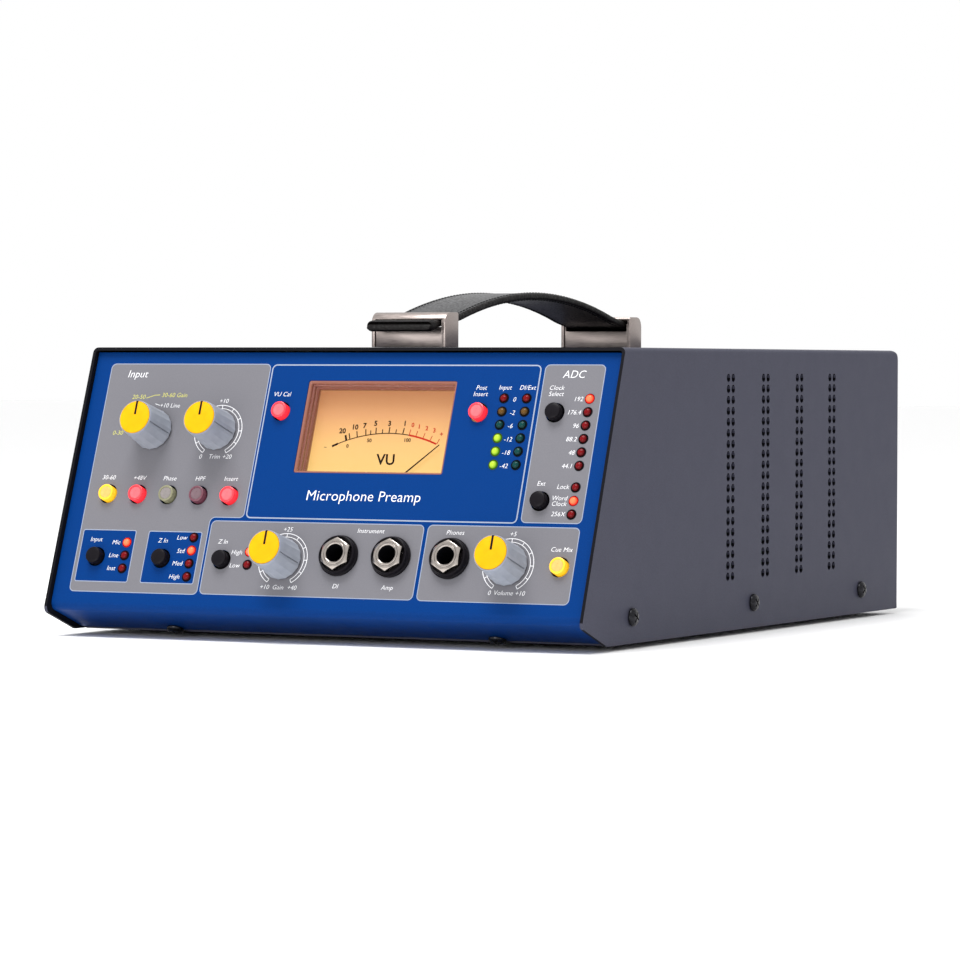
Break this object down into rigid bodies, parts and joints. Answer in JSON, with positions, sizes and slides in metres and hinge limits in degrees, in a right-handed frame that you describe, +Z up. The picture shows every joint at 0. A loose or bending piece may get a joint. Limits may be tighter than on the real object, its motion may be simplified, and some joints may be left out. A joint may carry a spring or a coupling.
{
  "type": "microphone preamp",
  "caption": "Desktop microphone preamp with a sloping control panel, turning knobs, push buttons, a needle meter, front and rear sockets and a leather strap handle.",
  "frame": {"origin": "on the surface that it stands on, below the middle of the preamp's bounding box", "axes": "+Z up; the control panel faces -Y, towards the user; +X is to the right seen from the front"},
  "size_m": [0.2244, 0.304, 0.1285],
  "materials": {
    "slate_paint": "fine textured powder coat, satin",
    "blue_paint": "smooth satin paint with printed legends",
    "black_plastic": "satin moulded",
    "black_rubber": "matt",
    "black_screws": "blackened steel, satin",
    "black_leather": "grained, waxed",
    "grey_plastic": "satin moulded",
    "yellow_plastic": "satin moulded",
    "amber_lens": "translucent, lit",
    "red_lens": "translucent, lit",
    "grey_lens": "translucent, unlit",
    "red_lamps": "clear tinted domes",
    "green_lamps": "clear tinted domes",
    "yellow_lamps": "clear tinted domes",
    "bare_steel": "plated",
    "nickel": "brushed, warm",
    "clear_pane": "clear polished",
    "dial_amber": "lit from behind",
    "circuit_board": "solder mask",
    "winding_tape": "wrapped tape",
    "meter_case": "translucent moulding"
  },
  "bodies": {
    "case": {"amplifier_jack": "bare_steel", "base_tray": "slate_paint", "clock_lamps": "red_lamps", "front_circuit_board": "circuit_board", "front_handle_bracket": "nickel", "front_left_foot": "black_rubber", "front_left_screw": "black_screws", "front_panel": "blue_paint", "front_right_foot": "black_rubber", "front_right_screw": "black_screws", "handle_strap": "black_leather", "impedance_lamps": "red_lamps", "input_lamps": "red_lamps", "instrument_jack": "bare_steel", "instrument_lamps": "yellow_lamps", "level_lamps": "green_lamps", "line_output": "black_plastic", "main_circuit_board": "circuit_board", "mains_inlet": "black_plastic", "mains_transformer": "winding_tape", "meter_dial": "dial_amber", "meter_housing": "meter_case", "meter_window": "clear_pane", "microphone_input": "black_plastic", "middle_left_screw": "black_screws", "middle_right_screw": "black_screws", "outer_cover": "slate_paint", "panel_left_screw": "black_screws", "panel_right_screw": "black_screws", "phones_jack": "bare_steel", "power_switch_frame": "black_plastic", "rear_handle_bracket": "nickel", "rear_left_foot": "black_rubber", "rear_left_screw": "black_screws", "rear_panel": "slate_paint", "rear_right_foot": "black_rubber", "rear_right_screw": "black_screws"},
    "input_gain_control": {"input_gain_knob": "grey_plastic", "input_gain_cap": "yellow_plastic"},
    "trim_control": {"trim_knob": "grey_plastic", "trim_cap": "yellow_plastic"},
    "instrument_gain_control": {"instrument_gain_knob": "grey_plastic", "instrument_gain_cap": "yellow_plastic"},
    "phones_volume_control": {"phones_volume_knob": "grey_plastic", "phones_volume_cap": "yellow_plastic"},
    "clock_select_button": {"clock_select_button": "black_plastic"},
    "cue_mix_button": {"cue_mix_button": "amber_lens"},
    "external_clock_button": {"external_clock_button": "black_plastic"},
    "gain_range_button": {"gain_range_button": "amber_lens"},
    "high_pass_button": {"high_pass_button": "grey_lens"},
    "impedance_button": {"impedance_button": "black_plastic"},
    "input_select_button": {"input_select_button": "black_plastic"},
    "insert_button": {"insert_button": "red_lens"},
    "instrument_impedance_button": {"instrument_impedance_button": "black_plastic"},
    "meter_calibration_button": {"meter_calibration_button": "red_lens"},
    "phantom_power_button": {"phantom_power_button": "red_lens"},
    "phase_button": {"phase_button": "grey_lens"},
    "post_insert_button": {"post_insert_button": "red_lens"},
    "needle": {"meter_needle": "black_plastic"},
    "rocker": {"power_switch_rocker": "black_plastic"}
  },
  "joints": [
    {"name": "input_gain_turn", "type": "hinge", "parent": "case", "child": "input_gain_control", "pos_m": [-0.0782, -0.11907, 0.07605], "axis": [0, -0.9397, 0.342], "range_deg": [-150, 150]},
    {"name": "trim_turn", "type": "hinge", "parent": "case", "child": "trim_control", "pos_m": [-0.0508, -0.11903, 0.07614], "axis": [0, -0.9397, 0.342], "range_deg": [-150, 150]},
    {"name": "instrument_gain_turn", "type": "hinge", "parent": "case", "child": "instrument_gain_control", "pos_m": [-0.014, -0.13576, 0.03019], "axis": [0, -0.9397, 0.342], "range_deg": [-150, 150]},
    {"name": "phones_volume_turn", "type": "hinge", "parent": "case", "child": "phones_volume_control", "pos_m": [0.0767, -0.13576, 0.03019], "axis": [0, -0.9397, 0.342], "range_deg": [-150, 150]},
    {"name": "clock_select_button_press", "type": "slide", "parent": "case", "child": "clock_select_button", "axis": [0, 0.9397, -0.342], "range_m": [0, 0.0015], "stiffness_N_per_m": 400},
    {"name": "cue_mix_button_press", "type": "slide", "parent": "case", "child": "cue_mix_button", "axis": [0, 0.9397, -0.342], "range_m": [0, 0.0015], "stiffness_N_per_m": 400},
    {"name": "external_clock_button_press", "type": "slide", "parent": "case", "child": "external_clock_button", "axis": [0, 0.9397, -0.342], "range_m": [0, 0.0015], "stiffness_N_per_m": 400},
    {"name": "gain_range_button_press", "type": "slide", "parent": "case", "child": "gain_range_button", "axis": [0, 0.9397, -0.342], "range_m": [0, 0.0015], "stiffness_N_per_m": 400},
    {"name": "high_pass_button_press", "type": "slide", "parent": "case", "child": "high_pass_button", "axis": [0, 0.9397, -0.342], "range_m": [0, 0.0015], "stiffness_N_per_m": 400},
    {"name": "impedance_button_press", "type": "slide", "parent": "case", "child": "impedance_button", "axis": [0, 0.9397, -0.342], "range_m": [0, 0.0015], "stiffness_N_per_m": 400},
    {"name": "input_select_button_press", "type": "slide", "parent": "case", "child": "input_select_button", "axis": [0, 0.9397, -0.342], "range_m": [0, 0.0015], "stiffness_N_per_m": 400},
    {"name": "insert_button_press", "type": "slide", "parent": "case", "child": "insert_button", "axis": [0, 0.9397, -0.342], "range_m": [0, 0.0015], "stiffness_N_per_m": 400},
    {"name": "instrument_impedance_button_press", "type": "slide", "parent": "case", "child": "instrument_impedance_button", "axis": [0, 0.9397, -0.342], "range_m": [0, 0.0015], "stiffness_N_per_m": 400},
    {"name": "meter_calibration_button_press", "type": "slide", "parent": "case", "child": "meter_calibration_button", "axis": [0, 0.9397, -0.342], "range_m": [0, 0.0015], "stiffness_N_per_m": 400},
    {"name": "phantom_power_button_press", "type": "slide", "parent": "case", "child": "phantom_power_button", "axis": [0, 0.9397, -0.342], "range_m": [0, 0.0015], "stiffness_N_per_m": 400},
    {"name": "phase_button_press", "type": "slide", "parent": "case", "child": "phase_button", "axis": [0, 0.9397, -0.342], "range_m": [0, 0.0015], "stiffness_N_per_m": 400},
    {"name": "post_insert_button_press", "type": "slide", "parent": "case", "child": "post_insert_button", "axis": [0, 0.9397, -0.342], "range_m": [0, 0.0015], "stiffness_N_per_m": 400},
    {"name": "needle_swing", "type": "hinge", "parent": "case", "child": "needle", "pos_m": [0.0141, -0.12081, 0.05167], "axis": [0, -0.9397, 0.342], "range_deg": [0, 95]},
    {"name": "rocker_tip", "type": "hinge", "parent": "case", "child": "rocker", "pos_m": [-0.032, 0.148, 0.062], "axis": [0, 0, 1], "range_deg": [-16, 0]}
  ]
}
